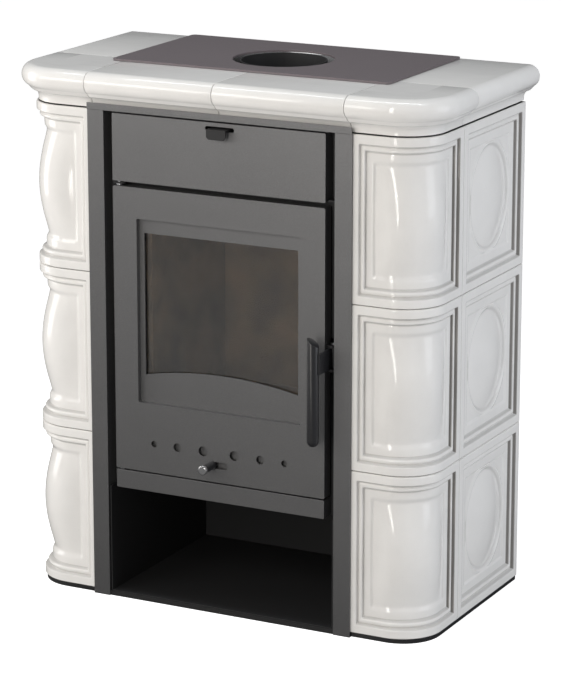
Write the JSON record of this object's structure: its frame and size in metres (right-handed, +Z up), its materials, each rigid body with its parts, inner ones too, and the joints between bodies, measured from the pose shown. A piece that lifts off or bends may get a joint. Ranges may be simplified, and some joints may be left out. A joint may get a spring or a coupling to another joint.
{
  "type": "tiled wood stove",
  "caption": "Steel wood stove with a glazed door, log store and top flue outlet, clad in white relief tiles with rounded front corners and a bullnose cornice.",
  "frame": {"origin": "on the floor, under the middle of the stove's footprint, handle included", "axes": "+X to the right seen from the front, +Y to the rear, +Z up; the door faces -Y"},
  "size_m": [0.81, 0.442, 0.9241],
  "materials": {
    "glaze": "warm white glazed ceramic, glossy, finely speckled",
    "paint_anthracite": "anthracite stove paint with a fine metallic grain",
    "paint_black": "matt black stove paint",
    "paint_brown": "brownish grey stove paint on the hot plate",
    "satin_black": "satin black",
    "bright_steel": "bright steel sheet",
    "chrome_cap": "polished end cap of the air knob",
    "iron": "grey cast iron",
    "fireclay": "buff fireclay, matt",
    "window_glass": "clear ceramic glass",
    "rope": "grey-white braided glass rope"
  },
  "bodies": {
    "stove_body": {"corner_tile_right_lower": "glaze", "corner_tile_left_lower": "glaze", "side_tile_right_lower": "glaze", "side_tile_left_lower": "glaze", "corner_tile_right_middle": "glaze", "corner_tile_left_middle": "glaze", "side_tile_right_middle": "glaze", "side_tile_left_middle": "glaze", "corner_tile_right_upper": "glaze", "corner_tile_left_upper": "glaze", "side_tile_right_upper": "glaze", "side_tile_left_upper": "glaze", "cornice_corner_right": "glaze", "cornice_corner_left": "glaze", "cornice_front_right": "glaze", "cornice_front_left": "glaze", "cornice_side_right": "glaze", "cornice_side_left": "glaze", "right_post": "paint_anthracite", "left_post": "paint_anthracite", "top_rail": "paint_anthracite", "upper_panel": "paint_anthracite", "apron": "paint_anthracite", "floor_plate": "paint_black", "bay_floor": "paint_black", "bay_liner": "paint_black", "firebox_support": "paint_black", "front_plate": "paint_black", "back_panel": "paint_black", "firebox_body": "paint_black", "flue_collar": "paint_black", "upper_hinge_bracket": "paint_black", "lower_hinge_bracket": "paint_black", "top_plate": "paint_brown", "top_shield": "bright_steel", "grate": "iron", "log_guard": "iron", "hearth_slab": "fireclay", "brick_right": "fireclay", "brick_left": "fireclay", "brick_back": "fireclay", "baffle_plate": "fireclay"},
    "door": {"door_front": "paint_anthracite", "door_back_frame": "paint_black", "window_frame": "paint_anthracite", "window_glass": "window_glass", "glass_retainer": "paint_black", "door_seal": "rope", "upper_hinge_pin": "bright_steel", "lower_hinge_pin": "bright_steel", "handle_bracket": "paint_black", "handle_pivot_pin": "bright_steel"},
    "door_handle": {"handle_bar": "satin_black", "handle_arm": "satin_black"},
    "primary_air_control": {"air_slider": "paint_anthracite", "air_rod": "satin_black", "air_cap": "chrome_cap"},
    "secondary_air_control": {"secondary_air_slider": "paint_black"},
    "ash_drawer": {"ash_pan": "paint_black"}
  },
  "joints": [
    {"name": "door_swing", "type": "hinge", "parent": "stove_body", "child": "door", "pos_m": [-0.191, -0.169, 0.48], "axis": [0, 0, -1], "range_deg": [0, 110]},
    {"name": "handle_turn", "type": "hinge", "parent": "door", "child": "door_handle", "pos_m": [0.206, -0.159, 0.476], "axis": [0, 0, 1], "range_deg": [0, 25]},
    {"name": "primary_air_slide", "type": "slide", "parent": "door", "child": "primary_air_control", "axis": [1, 0, 0], "range_m": [0, 0.021]},
    {"name": "secondary_air_slide", "type": "slide", "parent": "stove_body", "child": "secondary_air_control", "axis": [1, 0, 0], "range_m": [-0.008, 0.008]},
    {"name": "ash_drawer_slide", "type": "slide", "parent": "stove_body", "child": "ash_drawer", "axis": [0, -1, 0], "range_m": [0, 0.15]}
  ],
  "couplings": [
    {"joint": "ash_drawer_slide", "follows": "door_swing", "m_per_rad": 0.078}
  ]
}
